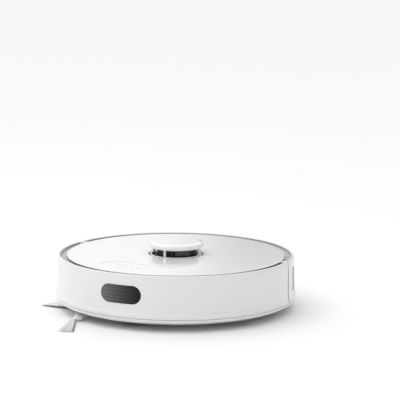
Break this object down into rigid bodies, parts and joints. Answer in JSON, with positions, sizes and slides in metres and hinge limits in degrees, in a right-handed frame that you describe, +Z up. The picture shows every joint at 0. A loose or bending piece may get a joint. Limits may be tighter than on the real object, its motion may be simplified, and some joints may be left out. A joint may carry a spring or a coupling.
{
  "type": "robot vacuum",
  "caption": "Round robot vacuum with a laser turret, sprung bumper, drive wheels, caster, main and side brushes, fan and a rear dust drawer.",
  "frame": {"origin": "on the floor under the centre of the round body", "axes": "+Z up, the robot drives towards -Y, its own right side is -X"},
  "size_m": [0.3528, 0.3981, 0.0965],
  "materials": {
    "white_shell": "satin white ABS",
    "silver_trim": "matte silver lacquer",
    "dark_window": "smoked infrared-transparent plastic, polished",
    "chassis_grey": "fine-textured light grey plastic",
    "inner_black": "matte black plastic",
    "inner_grey": "matte mid grey plastic",
    "tyre_rubber": "moulded rubber tread",
    "motor_can": "drawn steel can, weighed as light alloy for its hollow inside",
    "cell_wrap": "shrink-wrapped lithium cells, weighed as light alloy",
    "steel": "zinc-plated steel",
    "gold_contact": "plated contact",
    "circuit_board": "solder mask",
    "bristle": "light grey nylon bristles",
    "brush_bristle": "dark nylon bristles",
    "filter_paper": "pleated filter paper",
    "smoke_clear": "smoked translucent plastic",
    "lens": "coated lens",
    "lamp": "milky light guide"
  },
  "bodies": {
    "chassis": {"base_chassis": "chassis_grey", "front_wall": "chassis_grey", "cliff_sensors": "dark_window", "case_screws": "steel", "mid_deck": "chassis_grey", "bumper_springs": "steel", "rear_shell": "white_shell", "charging_contacts": "gold_contact", "rear_trim_ring": "silver_trim", "side_grilles": "inner_grey", "caster_socket": "inner_grey", "brush_chamber": "inner_grey", "suction_duct": "inner_grey", "brush_motor": "motor_can", "side_brush_motor": "motor_can", "fan_housing": "inner_black", "fan_motor": "motor_can", "turret_cage": "white_shell", "turret_cap": "white_shell", "lidar_bearing": "steel", "lidar_motor": "motor_can", "lidar_belt": "tyre_rubber", "main_board": "circuit_board", "button_board": "circuit_board", "battery_pack": "cell_wrap", "battery_door": "chassis_grey", "speaker": "inner_black", "bumper_switches": "inner_black", "left_suspension_spring": "steel", "right_suspension_spring": "steel"},
    "bumper": {"bumper": "white_shell", "sensor_window": "dark_window", "bumper_trim_ring": "silver_trim"},
    "left_arm": {"left_wheel_arm": "inner_grey", "left_wheel_motor": "motor_can"},
    "right_arm": {"right_wheel_arm": "inner_grey", "right_wheel_motor": "motor_can"},
    "left_wheel": {"left_wheel_hub": "inner_grey", "left_tyre": "tyre_rubber"},
    "right_wheel": {"right_wheel_hub": "inner_grey", "right_tyre": "tyre_rubber"},
    "caster_swivel": {"caster_fork": "inner_grey"},
    "caster_roller": {"caster_wheel": "inner_black"},
    "main_brush": {"main_brush_core": "inner_grey", "main_brush_bristles": "brush_bristle"},
    "guard": {"brush_guard": "inner_black"},
    "side_brush": {"side_brush": "white_shell", "side_brush_bristles": "bristle"},
    "dust_drawer": {"dust_box": "smoke_clear", "dust_box_lid": "smoke_clear", "dust_filter": "filter_paper"},
    "drawer_latch": {"dust_box_latch": "white_shell"},
    "flap": {"evac_flap": "tyre_rubber"},
    "impeller": {"fan_impeller": "inner_grey"},
    "lidar_head": {"lidar_rotor": "inner_black", "lidar_lenses": "lens"},
    "lidar_drive": {"lidar_motor_pulley": "inner_grey"},
    "cover": {"top_cover": "white_shell", "indicator_lens": "lamp"},
    "power_key": {"power_button": "white_shell"},
    "home_key": {"home_button": "white_shell"}
  },
  "joints": [
    {"name": "bumper_press", "type": "slide", "parent": "chassis", "child": "bumper", "axis": [0, 1, 0], "range_m": [0, 0.004], "stiffness_N_per_m": 400, "springref_m": -0.001, "deforming": ["bumper_springs"]},
    {"name": "cover_lift", "type": "slide", "parent": "chassis", "child": "cover", "axis": [0, 0, 1], "range_m": [0, 0.04]},
    {"name": "power_press", "type": "slide", "parent": "chassis", "child": "power_key", "axis": [0, 0, -1], "range_m": [0, 0.0008], "stiffness_N_per_m": 400, "springref_m": -0.0004},
    {"name": "home_press", "type": "slide", "parent": "chassis", "child": "home_key", "axis": [0, 0, -1], "range_m": [0, 0.0008], "stiffness_N_per_m": 400, "springref_m": -0.0004},
    {"name": "lidar_spin", "type": "hinge", "parent": "chassis", "child": "lidar_head", "pos_m": [0, 0, 0.08], "axis": [0, 0, 1], "continuous": true},
    {"name": "lidar_pulley_spin", "type": "hinge", "parent": "chassis", "child": "lidar_drive", "pos_m": [0, 0.0305, 0.068], "axis": [0, 0, 1], "continuous": true},
    {"name": "caster_turn", "type": "hinge", "parent": "chassis", "child": "caster_swivel", "pos_m": [0, -0.128, 0.03], "axis": [0, 0, 1], "continuous": true},
    {"name": "caster_roll", "type": "hinge", "parent": "caster_swivel", "child": "caster_roller", "pos_m": [0, -0.123, 0.0125], "axis": [1, 0, 0], "continuous": true},
    {"name": "main_brush_spin", "type": "hinge", "parent": "chassis", "child": "main_brush", "pos_m": [0, -0.036, 0.0215], "axis": [1, 0, 0], "continuous": true},
    {"name": "side_brush_spin", "type": "hinge", "parent": "chassis", "child": "side_brush", "pos_m": [-0.0757, -0.1185, 0.008], "axis": [0, 0, 1], "continuous": true, "deforming": ["side_brush_bristles"]},
    {"name": "fan_spin", "type": "hinge", "parent": "chassis", "child": "impeller", "pos_m": [0.05, 0.088, 0.044], "axis": [1, 0, 0], "continuous": true},
    {"name": "guard_release", "type": "slide", "parent": "chassis", "child": "guard", "axis": [0, 0, -1], "range_m": [0, 0.02]},
    {"name": "drawer_pull", "type": "slide", "parent": "chassis", "child": "dust_drawer", "axis": [0, 1, 0], "range_m": [0, 0.13]},
    {"name": "latch_press", "type": "slide", "parent": "dust_drawer", "child": "drawer_latch", "axis": [0, -1, 0], "range_m": [0, 0.002], "stiffness_N_per_m": 500, "springref_m": -0.001},
    {"name": "flap_swing", "type": "hinge", "parent": "dust_drawer", "child": "flap", "pos_m": [0, 0.1652, 0.0485], "axis": [-1, 0, 0], "range_deg": [0, 60], "stiffness_Nm_per_rad": 0.002, "springref_deg": -11.46},
    {"name": "left_arm_swing", "type": "hinge", "parent": "chassis", "child": "left_arm", "pos_m": [0.099, 0.044, 0.046], "axis": [1, 0, 0], "range_deg": [0, 18], "stiffness_Nm_per_rad": 0.2, "springref_deg": 51.57, "deforming": ["left_suspension_spring"]},
    {"name": "left_wheel_roll", "type": "hinge", "parent": "left_arm", "child": "left_wheel", "pos_m": [0.11484, 0.005, 0.033], "axis": [1, 0, 0], "continuous": true},
    {"name": "right_arm_swing", "type": "hinge", "parent": "chassis", "child": "right_arm", "pos_m": [-0.099, 0.044, 0.046], "axis": [1, 0, 0], "range_deg": [0, 18], "stiffness_Nm_per_rad": 0.2, "springref_deg": 51.57, "deforming": ["right_suspension_spring"]},
    {"name": "right_wheel_roll", "type": "hinge", "parent": "right_arm", "child": "right_wheel", "pos_m": [-0.11484, 0.005, 0.033], "axis": [1, 0, 0], "continuous": true}
  ],
  "couplings": [
    {"joint": "lidar_pulley_spin", "follows": "lidar_spin", "ratio": 7}
  ]
}
